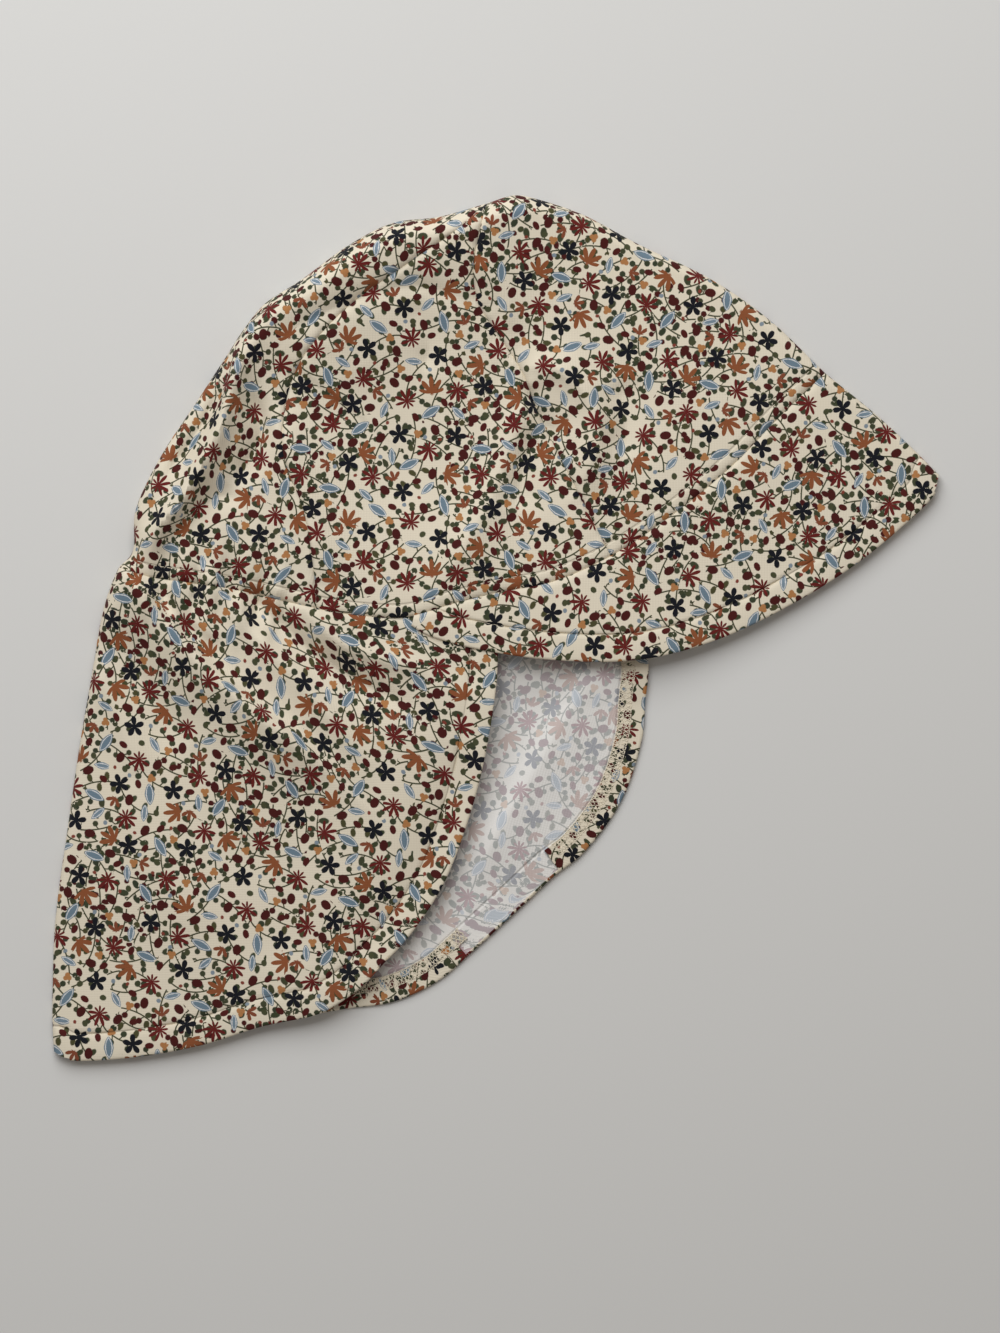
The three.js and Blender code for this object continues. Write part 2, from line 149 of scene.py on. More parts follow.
# Ridges (rise above 0) and valleys of the upper layer. Columns: rise, reach to the left of the path,
# reach to its right, path
FOLDS = [
    # the roll along the back, with dents inside it
    [6.8, 10, 26, [[-86, 84], [-79, 97], [-64, 109], [-40, 123], [-16, 132], [14, 137]]],
    [-1.8, 4, 4, [[-70, 96], [-50, 106], [-28, 112], [-10, 108]]],
    [-1.8, 5, 4, [[-28, 108], [-22, 94], [-24, 84]]],
    [1.6, 5, 4, [[-8, 122], [2, 108], [4, 96]]],
    # the ridge above the nape, the valley outside it and the creases inside it
    [7, 4.5, 3, [[-80, 100], [-83, 94], [-85.5, 85], [-90, 67], [-100, 47], [-112, 31], [-118, 22]]],
    [-3, 3, 3, [[-87, 83], [-94, 71], [-101, 60], [-108, 50]]],
    [-4, 3.5, 4, [[-80, 78], [-77, 66], [-80.5, 56], [-86, 47]]],
    [-3, 4, 5, [[-83, 41], [-91, 43.5], [-99, 37], [-107, 27]]],
    # the back side seam, which stands up
    [3, 8, 5, [[-74, 72], [-69, 59], [-62, 36], [-58, 13]]],
    # a star of soft buckles on the side and front gores
    [3.6, 8, 6, [[12, 84], [8, 69], [-2, 43], [-10, 28], [-18, 14]]],
    [4, 6, 5, [[10, 86], [22, 84], [32, 72], [32, 58], [28, 46]]],
    [-3, 4, 4, [[9, 80], [14, 71], [21, 61]]],
    [-2.5, 6, 6, [[13, 66], [8, 50], [6, 38]]],
    [-2.5, 7, 7, [[40, 82], [43, 70], [40, 56]]],
    [-1.5, 12, 12, [[-48, 84], [-34, 60], [-30, 36]]],
    # ridges and valleys that run down the flap from the nape
    [7, 2.4, 12, [[-132, 29], [-120, 16], [-108, 2], [-96, -12], [-84, -23], [-69, -35], [-53, -49]]],
    [-2.5, 9, 9, [[-126, 2], [-116, -18], [-102, -40]]],
    [2, 5, 5, [[-134, -10], [-124, -28], [-116, -48]]],
    [3.0, 2.6, 5, [[-103, 27], [-92, 14], [-79, -2], [-66, -15], [-53, -30], [-43, -44]]],
    [2.4, 3.4, 3, [[-62, 6], [-52, -4], [-40, -9], [-22, -14]]],
    [2.0, 4, 3, [[-106, 14], [-100, 4], [-90, -4]]],
    [-1.6, 3, 3, [[-112, 13], [-106, 2], [-98, -4]]],
    [-4.5, 4.5, 6, [[-90, 19], [-78, 8], [-62, -7], [-52, -14], [-43, -19], [-28, -26]]],
    [1.5, 10, 10, [[-122, -50], [-112, -76], [-98, -104]]],
    [-1.5, 10, 10, [[-82, -66], [-72, -88], [-68, -112]]],
    # inside the front hem
    [-2.8, 7, 9, [[-10, -38], [-16, -60], [-24, -79], [-35, -97], [-48, -111]]],
]
LOWER_FOLDS = [  # in the flap's far half
    [3.6, 14, 4, [[34, -8], [27, -22], [18, -37], [8, -54], [-1, -69], [-7, -84]]],
]
CREASE = 1.45  # 2 would make every fold round, and 1 a sharp crease
FOLD_END = 3.5  # a fold ends at this many times its reach
FOLD_TAPER = 0.35  # share of a fold's path over which it fades out at each end

# Stations near an edge, in millimetres from it, before the regular ones begin
AT_FOLD = [0, 0.07, 0.3, 0.65, 1.15, 1.75, 2.45, 3.2, 4.0]
AT_SEAM = [0, 0.2, 0.5, 0.9, 1.5]
AT_EDGE = [0]


def smooth_places(rows, per_span=12):
    """Places along a smooth line through the rows' points (a centripetal Catmull-Rom curve)."""
    points = np.array(rows, float)
    ends = np.vstack([2 * points[0] - points[1], points, 2 * points[-1] - points[-2]])
    steps = np.linalg.norm(np.diff(ends, axis=0), axis=1) ** 0.5
    share = np.linspace(0, 1, per_span, endpoint=False)[:, None]
    places = []
    for i in range(len(points) - 1):
        a, b, c, d = ends[i : i + 4]
        before, step, after = steps[i : i + 3]
        leave = step * ((b - a) / before - (c - a) / (before + step)) + c - b
        arrive = step * ((d - c) / after - (d - b) / (step + after)) + c - b
        square = 3 * (c - b) - 2 * leave - arrive
        cube = 2 * (b - c) + leave + arrive
        places.append(b + share * (leave + share * (square + share * cube)))
    return np.vstack([*places, points[-1:]])


class Line:
    """A line in plan. A share of 0 is its start and 1 its end."""

    def __init__(self, places):
        self.places = places
        self.walked = np.concatenate([[0], np.cumsum(np.linalg.norm(np.diff(places, axis=0), axis=1))])
        self.length = self.walked[-1]

    def at(self, share):
        along = np.asarray(share, float) * self.length
        return np.stack([np.interp(along, self.walked, self.places[:, k]) for k in (0, 1)], -1)

    def left(self, share):
        """The way to the left of the line, as seen when walking along it."""
        step = 0.4 / self.length
        share = np.asarray(share, float)
        way = self.at(np.minimum(share + step, 1)) - self.at(np.maximum(share - step, 0))
        way /= np.linalg.norm(way, axis=-1, keepdims=True)
        return np.stack([-way[..., 1], way[..., 0]], -1)

    def beside(self, share, left):
        """A place moved sideways from the line."""
        return self.at(share) + left * self.left(share)

    def share_at(self, x):
        """Share of the way where a line that runs towards +X reaches x."""
        return float(np.interp(x, self.places[:, 0], self.walked)) / self.length

    def nearest(self, xy, chunk=4000):
        """For each place: its distance from the line, how far along, and whether it lies left of it."""
        start = self.places[:-1].T
        way = np.diff(self.places, axis=0).T
        long = np.hypot(*way)
        found = []
        for i in range(0, len(xy), chunk):
            x, y = (xy[i : i + chunk, k, None] - start[k] for k in (0, 1))
            share = np.clip((x * way[0] + y * way[1]) / long**2, 0, 1)
            x -= share * way[0]
            y -= share * way[1]
            row, best = np.arange(len(x)), (x * x + y * y).argmin(1)
            x, y, share = x[row, best], y[row, best], share[row, best]
            turn = way[0, best] * y - way[1, best] * x
            found.append(np.stack([np.hypot(x, y), self.walked[best] + share * long[best], turn > 0], -1))
        return np.vstack(found).T


LINES = {name: Line(smooth_places(rows)) for name, rows in OUTLINES.items()}


def joined(*parts):
    """One line through several, each given by name, backwards where the name starts with a minus."""
    places = [LINES[n.lstrip("-")].places[:: -1 if n[0] == "-" else 1][::2] for n in parts]
    return Line(np.vstack([p if i == 0 else p[1:] for i, p in enumerate(places)]))


FOLD_LINE = joined("-brim_fold", "centre_front", "-centre_back", "flap_fold")
SEWN_EDGE = LINES["lower_edge"]
BRIM_START = SEWN_EDGE.share_at(BRIM_END)


def smoothstep(x, low, high):
    share = np.clip((x - low) / (high - low), 0, 1)
    return share * share * (3 - 2 * share)


def plain_height(xy):
    gap = xy[:, None] - HEIGHTS[:, :2]
    weight = np.exp(-(gap**2).sum(-1) / (2 * BLEND**2))
    return (weight * HEIGHTS[:, 2]).sum(1) / weight.sum(1)


def folds(rows, xy):
    total = np.zeros(len(xy))
    for line, (rise, left_reach, right_reach, _) in rows:
        reach = FOLD_END * max(left_reach, right_reach)
        near = ((xy > line.places.min(0) - reach) & (xy < line.places.max(0) + reach)).all(1)
        distance, along, left = line.nearest(xy[near]) if near.any() else np.empty((3, 0))
        taper = FOLD_TAPER * line.length
        start, end = (smoothstep(a, -taper / 3, taper * 2 / 3) for a in (along, line.length - along))
        off = distance / np.where(left > 0, left_reach, right_reach)
        total[near] += rise * (start * end) * np.exp(-(off**CREASE))
    return total


def with_lines(rows):
    return [(Line(smooth_places(row[-1], 8)), row) for row in rows]


def ripple(along, pitch, seed):
    """Uneven waves along a seam, between -1 and 1."""
    waves = [np.sin(2 * math.pi * along / (pitch * k) + seed * k * k) for k in (0.8, 1.0, 1.45)]
    return sum(waves) / len(waves)


def seam_relief(xy):
    """The seams' grooves, the puckers beside them and the gathers at the nape."""
    total = np.zeros(len(xy))
    for seed, name in enumerate(SEAMS):
        distance, along, left = LINES[name].nearest(xy)
        total -= SEAM_DIP * np.exp(-distance / SEAM_REACH)
        near = np.exp(-distance / PUCKER_REACH) * smoothstep(distance, 0, 1)
        total += PUCKER * near * ripple(along, PUCKER_PITCH, seed + left)
        if name == "lower_edge":
            fade = smoothstep(GATHER_LENGTH - along, 0, GATHER_PITCH)
            wide = GATHER_DEPTH * (1 - 2 * np.abs(np.sin(math.pi * along / GATHER_PITCH)))
            wide *= np.exp(-((distance / GATHER_REACH) ** 2))
            fine = FINE_DEPTH * ripple(along, FINE_PITCH, 4) * np.exp(-((distance / FINE_REACH) ** 2))
            total += fade * (wide + fine)
            above = np.where(left > 0, distance, 99)
            total -= TOPSTITCH_DIP * np.exp(-(((above - TOPSTITCH) / TOPSTITCH_REACH) ** 2))
    return total


BRIM_RING = joined("lower_edge", "brim_fold", "brim_edge").places
BRIM_RING = BRIM_RING[BRIM_RING[:, 0] > BRIM_BACK]
UPPER_FOLDS, FAR_FOLDS = with_lines(FOLDS), with_lines(LOWER_FOLDS)


def inside_brim(xy):
    x, y = xy[:, 0], xy[:, 1]
    odd = np.zeros(len(xy), bool)
    for a, b in zip(BRIM_RING, np.roll(BRIM_RING, -1, axis=0)):
        if a[1] != b[1]:
            odd ^= ((a[1] > y) != (b[1] > y)) & (x < a[0] + (y - a[1]) * (b[0] - a[0]) / (b[1] - a[1]))
    return odd


BRIM_OUTLINE = Line(np.vstack([
    SEWN_EDGE.at(np.linspace(BRIM_START, 1, 90)),
    LINES["brim_fold"].places[1::2],
    LINES["brim_edge"].places[1::2],
]))


def lap(xy):
    """1 where the flap lies under the brim, and 0 a little way past the brim's edge."""
    distance = BRIM_OUTLINE.nearest(xy)[0]
    return np.where(inside_brim(xy), 1, 1 - smoothstep(distance, LAP_START, LAP_REACH))


def crest(xy):
    return plain_height(xy) + folds(UPPER_FOLDS, xy) + seam_relief(xy)


def hem_relief(xy, *edges):
    """The line where a hem's stitches draw the cloth down, and the hem's slight swell."""
    distance = nearest_of(edges, xy)
    swell = np.sin(math.pi * np.clip(distance / HEM, 0, 1))
    return HEM_SWELL * swell - HEM_DIP * np.exp(-(((distance - HEM) / HEM_DIP_REACH) ** 2))


# The layers: which way the outside of the cloth faces, how far its edge at a fold is moved, and its
# height away from the folds
LAYERS = {
    "upper_gore": (1, FOLD_GAP / 2, crest),
    "lower_gore": (-1, -FOLD_GAP / 2, lambda xy: np.full(len(xy), LOWEST)),
    "upper_brim": (1, 0, lambda xy: crest(xy) + hem_relief(xy, "brim_edge")),
    "lower_brim": (-1, 0, lambda xy: np.full(len(xy), LOWEST)),
    "upper_flap": (
        1, 0,
        lambda xy: crest(xy) - LAYER * lap(xy) + hem_relief(xy, "upper_front", "upper_hem"),
    ),
    "lower_flap": (-1, 0, lambda xy: LOWEST + LAYER * lap(xy) + folds(FAR_FOLDS, xy)),
}


def place(layer, xy):
    """Points of a layer. Near a fold the cloth turns in a quarter of an ellipse to the fold's edge."""
    _, lift, height = LAYERS[layer]
    flat = xy.reshape(-1, 2)
    top = height(flat)
    edge = LOWEST + FOLD_LEVEL * (plain_height(flat) - LOWEST) + lift
    distance = FOLD_LINE.nearest(flat)[0]
    away = 1 - np.minimum(distance / (ROLL_BASE + ROLL_SHARE * np.abs(top - edge)), 1)
    z = edge + (top - edge) * np.sqrt(1 - away**2)
    return np.concatenate([xy, z.reshape(xy.shape[:-1])[..., None]], -1)


def out_of(layer, xy, step=0.3):
    """The way out of a layer's cloth, where it isn't upright."""
    x_step, y_step = np.array([step, 0]), np.array([0, step])
    rise = [place(layer, xy + s)[..., 2] - place(layer, xy - s)[..., 2] for s in (x_step, y_step)]
    way = np.stack([-rise[0] / (2 * step), -rise[1] / (2 * step), np.ones(xy.shape[:-1])], -1)
    return LAYERS[layer][0] * way / np.linalg.norm(way, axis=-1, keepdims=True)


def stations(length, cell, near_start, near_end):
    """Shares of a length: close together near its ends, as they say, and about a cell apart between."""
    low, high = near_start[-1], length - near_end[-1]
    middle = np.linspace(low, high, max(2, round((high - low) / cell)) + 1)
    ends = length - np.array(near_end[::-1])
    return np.concatenate([near_start[:-1], middle, ends[1:]]) / length


def patch(top, bottom, left, right, u, v):
    """Places between four sides (a Coons patch), a row for each v and a column for each u."""
    u, v = u[None, :, None], v[:, None, None]
    places = (1 - v) * top(u[0, :, 0]) + v * bottom(u[0, :, 0])
    places = places + (1 - u) * left(v[:, 0, 0])[:, None] + u * right(v[:, 0, 0])[:, None]
    start, end = (1 - v) * top(0.0) + v * bottom(0.0), (1 - v) * top(1.0) + v * bottom(1.0)
    return places - (1 - u) * start - u * end


RELAX_ROUNDS = 160
RELAX_DAMPING = 4.2  # each point is pulled along up to eight edges at once


def relax(flat, places):
    """The flat pattern of a cloth: its rows rolled out, then moved until edges have their real lengths."""
    steps = np.diff(flat, axis=1)
    across = np.linalg.norm(np.diff(places, axis=1), axis=-1, keepdims=True)
    steps *= across / np.maximum(np.linalg.norm(steps, axis=-1, keepdims=True), 1e-9)
    walked = np.concatenate([np.zeros_like(flat[:, :1]), np.cumsum(steps, axis=1)], axis=1)
    middle = flat.shape[1] // 2
    flat = flat[:, middle, None] + walked - walked[:, middle, None]
    pairs = [
        (np.s_[:-1, :], np.s_[1:, :]), (np.s_[:, :-1], np.s_[:, 1:]),
        (np.s_[:-1, :-1], np.s_[1:, 1:]), (np.s_[:-1, 1:], np.s_[1:, :-1]),
    ]
    real = [np.linalg.norm(places[b] - places[a], axis=-1) for a, b in pairs]
    for _ in range(RELAX_ROUNDS):
        move = np.zeros_like(flat)
        for (a, b), length in zip(pairs, real):
            gap = flat[b] - flat[a]
            pull = gap * (0.5 - 0.5 * length / np.maximum(np.linalg.norm(gap, axis=-1), 1e-6))[..., None]
            move[a] += pull
            move[b] -= pull
        flat += move / RELAX_DAMPING
    return flat


def write(mesh, places):
    """Puts the points of a mesh at places given in millimetres in the outlines' frame."""
    moved = places.reshape(-1, 3) * MM
    moved[:, :2] += SHIFT * MM
    mesh.vertices.foreach_set("co", moved.astype(np.float32).ravel())
    mesh.update()


def note(mesh, domain, **attributes):
    """Writes attributes of a mesh: colours, which have four numbers, and vectors, which have three."""
    for name, values in attributes.items():
        kind, field = ("FLOAT_COLOR", "color") if values.shape[-1] == 4 else ("FLOAT_VECTOR", "vector")
        made = mesh.attributes.new(name, kind, domain)
        made.data.foreach_set(field, values.astype(np.float32).ravel())


STITCHED = {  # lines that a row of stitches runs beside, on each layer
    "upper_gore": ["lower_edge"],
    "lower_gore": ["lower_edge"],
    "upper_brim": ["brim_edge"],
    "lower_brim": ["brim_edge"],
    "upper_flap": ["upper_front", "upper_hem"],
    "lower_flap": ["lower_front", "lower_hem"],
}
NO_MARK = 90.0


def nearest_of(names, xy):
    """The distance of each place from the nearest of some lines."""
    return np.min([LINES[name].nearest(xy)[0] for name in names], axis=0)


def stitch_marks(layer, xy):
    """For each place: how far it is past the row of stitches, and how far from the nearest seam."""
    spots = xy.reshape(-1, 2)
    past = nearest_of(STITCHED[layer], spots) - (TOPSTITCH if layer.endswith("gore") else HEM)
    seam = nearest_of(SEAMS, spots)
    return np.stack([past, seam, seam], -1).reshape(*xy.shape[:-1], 3)


def add_grid(name, places, flat, marks=None):
    """A grid with a point for each place. Its place in the flat pattern and its marks are attributes."""
    rows, columns = places.shape[:2]
    bpy.ops.mesh.primitive_grid_add(x_subdivisions=columns - 1, y_subdivisions=rows - 1, size=1)
    piece = bpy.context.object
    piece.name = piece.data.name = name
    mesh = piece.data
    corners = np.empty(len(mesh.vertices) * 3, np.float32)
    mesh.vertices.foreach_get("co", corners)
    corners = corners.reshape(-1, 3)
    column = np.rint((corners[:, 0] + 0.5) * (columns - 1)).astype(int)
    row = np.rint((corners[:, 1] + 0.5) * (rows - 1)).astype(int)
    write(mesh, places[row, column])
    flat = np.dstack([flat, np.zeros((rows, columns))])
    marks = np.full(places.shape, NO_MARK) if marks is None else marks
    note(mesh, "POINT", flat=flat[row, column], marks=marks[row, column])
    return piece


# Where the middle of the cloth runs round a turned hem. Columns: distance in from the outline, depth
# towards the wrong side
TURNED = 0.77
HEM_PATH = [
    [0.72, 0], [0.5, 0.05], [0.34, 0.18], [0.3, HEM_BEND], [0.34, 0.58], [0.5, 0.71], [0.75, 0.76],
    *([inward, TURNED] for inward in (1.3, 2.2, 3.2, 4.2, 5.2, 6.2, 7.2, 8.2, HEM - 0.3)),
]
EDGE_INSET = HEM_PATH[0][0]
TUCK_ROWS = 7  # rows of that path where the hem is tucked under and only its turn shows
# Where that is, on the edge of the far flap, and how near to it
TUCKED = Line(np.array([[18.6, -81.3], [9.4, -91.2], [-0.2, -99.8], [-8.4, -107.0]]))
TUCK_REACH = 2.5


def turned_hem(name, layer, path, outline, outward, edge_flat, way_flat):
    """The hem turned in to the wrong side along a chain of places on the outline."""
    rings, flats = [], []
    walked = 0
    for i, (inward, depth) in enumerate(path):
        xy = outline - inward * outward
        rings.append(place(layer, xy) - depth * out_of(layer, xy))
        if i:
            walked += math.dist(path[i], path[i - 1])
        flats.append(edge_flat + walked * way_flat)
    return add_grid(name, np.array(rings), np.array(flats))


def pick(pieces):
    """Selects pieces alone and makes the first one active."""
    bpy.ops.object.select_all(action="DESELECT")
    for piece in pieces:
        piece.select_set(True)
    bpy.context.view_layer.objects.active = pieces[0]


def edit(piece, *steps):
    """Runs edit-mode operators on all of a piece. Each step is an operator and its settings."""
    pick([piece])
    bpy.ops.object.mode_set(mode="EDIT")
    bpy.ops.mesh.select_all(action="SELECT")
    for operator, settings in steps:
        operator(**settings)
    bpy.ops.object.mode_set(mode="OBJECT")


def join(pieces, name):
    """Joins grids into one piece, sewn together where their points meet."""
    pick(pieces)
    if len(pieces) > 1:
        bpy.ops.object.join()
    piece = bpy.context.object
    piece.name = piece.data.name = name
    edit(piece, (bpy.ops.mesh.remove_doubles, {"threshold": 0.02 * MM}))
    return piece


LEVEL = 0.8  # a face lies level where its normal is this far upright
CREASE_ANGLE = 55  # degrees between faces that are shaded as one surface


def thicken(piece, up=True):
    """Gives the sheet its thickness, with the outside of its highest face up or down."""
    edit(piece, (bpy.ops.mesh.normals_make_consistent, {"inside": False}))
    highest = max(piece.data.polygons, key=lambda p: (abs(p.normal.z) > LEVEL, p.center.z))
    if (highest.normal.z > 0) != up:
        edit(piece, (bpy.ops.mesh.flip_normals, {}))
    solid = piece.modifiers.new("thickness", "SOLIDIFY")
    solid.thickness = CLOTH * MM
    solid.offset = 0
    solid.material_offset = 1
    solid.use_even_offset = False
    bpy.ops.object.modifier_apply(modifier=solid.name)
    bpy.ops.object.shade_smooth_by_angle(angle=math.radians(CREASE_ANGLE))
    return piece


# Crown gores. Columns: seam where the gore starts, seam where it ends, shares of the lower edge there,
# stations near the start and near the end
GORES = {
    "back": ("centre_back", "back_side_seam", 0, SEWN_EDGE.share_at(BACK_SEAM), AT_FOLD, AT_SEAM),
    "side": (
        "back_side_seam", "front_side_seam", SEWN_EDGE.share_at(BACK_SEAM), SEWN_EDGE.share_at(FRONT_SEAM),
        AT_SEAM, AT_SEAM,
    ),
    "front": ("front_side_seam", "centre_front", SEWN_EDGE.share_at(FRONT_SEAM), 1, AT_SEAM, AT_FOLD),
}
APEX_GAP = 0.35  # the gores end this far from the point where they meet
WIDEST = 0.3  # share of a gore's sides where it is widest


def sewn_side(start, end, side):
    """A side of a patch: along the lower edge, between two shares of it, half a seam gap off it."""
    return lambda u: SEWN_EDGE.beside(start + (end - start) * np.asarray(u, float), side * SEAM_GAP / 2)


def line_side(line, left=0, end_gap=0.0):
    """A side of a patch: beside a line, from half a seam gap after its start to end_gap before its end."""
    start = SEAM_GAP / 2 / line.length
    end = end_gap / line.length
    return lambda v: line.beside(start + (1 - start - end) * np.asarray(v, float), left)


def straight_side(start, end):
    """A side of a patch: straight from one place to another."""
    return lambda u: (1 - np.asarray(u, float)[..., None]) * start + np.asarray(u, float)[..., None] * end


def gore(name, side, layer, cell):
    start_line, end_line, start, end, near_start, near_end = GORES[name]
    start_line, end_line = LINES[start_line], LINES[end_line]
    left = line_side(start_line, 0 if near_start is AT_FOLD else -SEAM_GAP / 2, APEX_GAP)
    right = line_side(end_line, 0 if near_end is AT_FOLD else SEAM_GAP / 2, APEX_GAP)
    width = np.linalg.norm(left(WIDEST) - right(WIDEST))
    u = stations(width, cell, near_start, near_end)
    v = stations((start_line.length + end_line.length) / 2, cell, AT_SEAM, AT_SEAM)
    xy = patch(sewn_side(start, end, 1), straight_side(left(1.0), right(1.0)), left, right, u, v)
    places = place(layer, xy)
    return add_grid(f"crown_{name}_{side}_cloth", places, relax(xy, places), stitch_marks(layer, xy))


def mirrored(xy, anchor, way):
    """Places mirrored in a line through each row's anchor, along way."""
    across = np.array([-way[1], way[0]])
    off = ((xy - anchor) * across).sum(-1, keepdims=True)
    return xy - 2 * off * across


def sideways(chain, inner):
    """The way out of a sheet at each place of its border, square to the border and away from inner."""
    way = np.gradient(chain, axis=0)
    way /= np.linalg.norm(way, axis=-1, keepdims=True)
    out = np.stack([-way[:, 1], way[:, 0]], -1)
    turn = np.sign((out * (chain - inner)).sum(-1))
    return out * np.where(np.median(turn) > 0, 1, -1)


def folded(name, fold, halves, cell, front_hem=False):
    """A piece folded in half: its columns run from the end of one half, over the fold, to the other's."""
    rows = stations(fold.length, cell, AT_SEAM, AT_EDGE)
    fold_places = line_side(fold, 0, EDGE_INSET)(rows)
    way = fold.places[-1] - fold.places[0]
    way /= np.linalg.norm(way)
    parts = []
    for layer, sides, width in halves:
        columns = stations(width, cell, AT_FOLD, AT_EDGE)
        xy = patch(*sides, columns, rows)
        flat = xy if layer.startswith("upper") else mirrored(xy, fold_places[:, None], way)
        parts.append((xy, place(layer, xy), flat, stitch_marks(layer, xy)))
    middle = parts[0][0].shape[1] - 1
    xy, points, flat, marks = (np.concatenate([a[:, ::-1], b[:, 1:]], axis=1) for a, b in zip(*parts))
    flat = relax(flat, points)
    grids = [add_grid(name, points, flat, marks)]
    for (layer, *_), edge, inwards in zip(halves, (0, xy.shape[1] - 1), (1, -1)):
        chain = [(row, edge) for row in range(len(rows) - 1)] if front_hem else []
        chain += [(len(rows) - 1, column) for column in range(edge, middle, inwards)]
        row, column = np.array(chain).T
        clear = np.linalg.norm(xy[row, column] - fold_places[-1], axis=1) > HEM_CLEAR
        row, column = row[clear], column[clear]
        inner = (np.maximum(row - 1, 0), np.where(column == edge, edge + inwards, column))
        outward = sideways(xy[row, column], xy[inner])
        outline = xy[row, column] + EDGE_INSET * outward
        way_flat = sideways(flat[row, column], flat[inner])
        tucked = (TUCKED.nearest(outline)[0] < TUCK_REACH) & (layer == "lower_flap")
        ends = [0, *(np.flatnonzero(np.diff(tucked)) + 1), len(outline)]
        for first, last in zip(ends, ends[1:]):
            run = np.s_[max(first - 1, 0) : last]
            path = HEM_PATH[:TUCK_ROWS] if tucked[first] else HEM_PATH
            edge_flat = flat[row[run], column[run]]
            grids.append(turned_hem(name, layer, path, outline[run], outward[run], edge_flat, way_flat[run]))
    return join(grids, name)


def brim(cell):
    edge, fold = LINES["brim_edge"], LINES["brim_fold"]
    top = sewn_side(1, BRIM_START, -1)

    def bottom(u):
        return edge.beside(u, -EDGE_INSET)

    sides = (top, bottom, line_side(fold, 0, EDGE_INSET), straight_side(top(1.0), bottom(1.0)))
    halves = [(layer, sides, edge.length) for layer in ("upper_brim", "lower_brim")]
    return folded("brim_cloth", fold, halves, cell)


# The neck flap's halves. Columns: name, x where the front edge meets the seam, about how wide it is
FLAP_HALVES = [("upper", FLAP_FRONT, 128), ("lower", FRONT_SEAM, 172)]


def neck_flap(cell):
    fold = LINES["flap_fold"]
    halves = []
    for half, front_x, width in FLAP_HALVES:
        hem, front = LINES[f"{half}_hem"], LINES[f"{half}_front"]
        sides = (
            sewn_side(0, SEWN_EDGE.share_at(front_x), -1),
            lambda u, hem=hem: hem.beside(u, EDGE_INSET),
            line_side(fold, 0, EDGE_INSET),
            line_side(front, -EDGE_INSET),
        )
        halves.append((f"{half}_flap", sides, width))
    return folded("neck_flap_cloth", fold, halves, cell, front_hem=True)


# The print is a small scattered design of its own: motifs and berried stems set out in one repeat
REPEAT = 60.0  # width and height of the repeat
SPOT = 0.25  # the repeat is looked up in squares of this width
PRINT_SEED = 11

# Columns: ink, how many in a repeat, room, petals, waist, power, radius, fan, vein, stretch, shift
MOTIFS = {
    "blossom": ("#0D1019", 9, 3.0, 5, 0.2, 0.85, 3.4, 0, 0, 1.0, 0),
    "aster": ("#661B17", 9, 3.3, 9, 0.18, 1.1, 4.3, 0.45, 0, 1.0, 0.4),
    "tulip": ("#8E5230", 6, 2.9, 9, 0.36, 1.1, 5.5, 1, 0, 1.1, 2.6),
    "leaf": ("#6F8391", 8, 2.7, 2, 0.44, 1.7, 3.7, 0, 1, 1.0, 0),
    "small_leaf": ("#7A8C99", 9, 2.0, 2, 0.42, 1.7, 2.9, 0, 1, 1.0, 0),
    "cornflower": ("#84482F", 6, 1.8, 7, 0.3, 1.0, 3.2, 1, 0, 1.0, 1.4),
    "plum": ("#48120E", 17, 1.7, 0, 1, 1, 1.85, 0, 0, 1.35, 0),
    "bean": ("#4E1410", 22, 1.4, 0, 1, 1, 1.5, 0, 0, 1.5, 0),
    "bud": ("#B27B4B", 10, 1.3, 3, 0.6, 1, 1.5, 0, 0, 1.0, 0),
    "berry": ("#474A30", 14, 1.2, 0, 1, 1, 1.1, 0, 0, 1.2, 0),
    "red_dot": ("#843E30", 12, 0.8, 0, 1, 1, 0.65, 0, 0, 1.2, 0),
    "blue_dot": ("#84909A", 10, 0.8, 0, 1, 1, 0.75, 0, 0, 1.1, 0),
}
STEM_INK = "#43452C"
VEIN_INK = "#E9E7E4"
BERRY_INKS = ["#3C432A", "#373E2A", "#48120E", "#40432C", "#4B492B", "#353C2A", "#3E432C"]
STEMS = 46
BERRY_SIZE = 0.49  # a berry's radius, as a share of its distance from the stem
MOTIF_TRIES = 260
MOTIF_CLEAR = 1.2  # more room than this between motifs isn't sought
ALIKE_REACH = 18  # motifs of a kind are kept apart up to this distance
ALIKE_WEIGHT = 0.1
LARGE_KINDS = 4  # stems grow from blossoms, asters, tulips and leaves
STEM_TRIES = 50
STEM_STEP = 0.5  # from one point of a stem to the next
STEM_COUNT = (26, 42)  # a stem has at least the first number of points, and fewer than the second
STEM_CURVE = (11, 26)  # radius of a stem's curve, from and to
STEM_BASE = 6  # points from its start that may be near other stems
STEM_ROOM = 0.4  # room of a stem's point, where a motif has its own from the rows above
BERRY_ROOM = 1.2


def wrapped(gap):
    """A step within the repeat, the short way round."""
    return gap - REPEAT * np.round(gap / REPEAT)


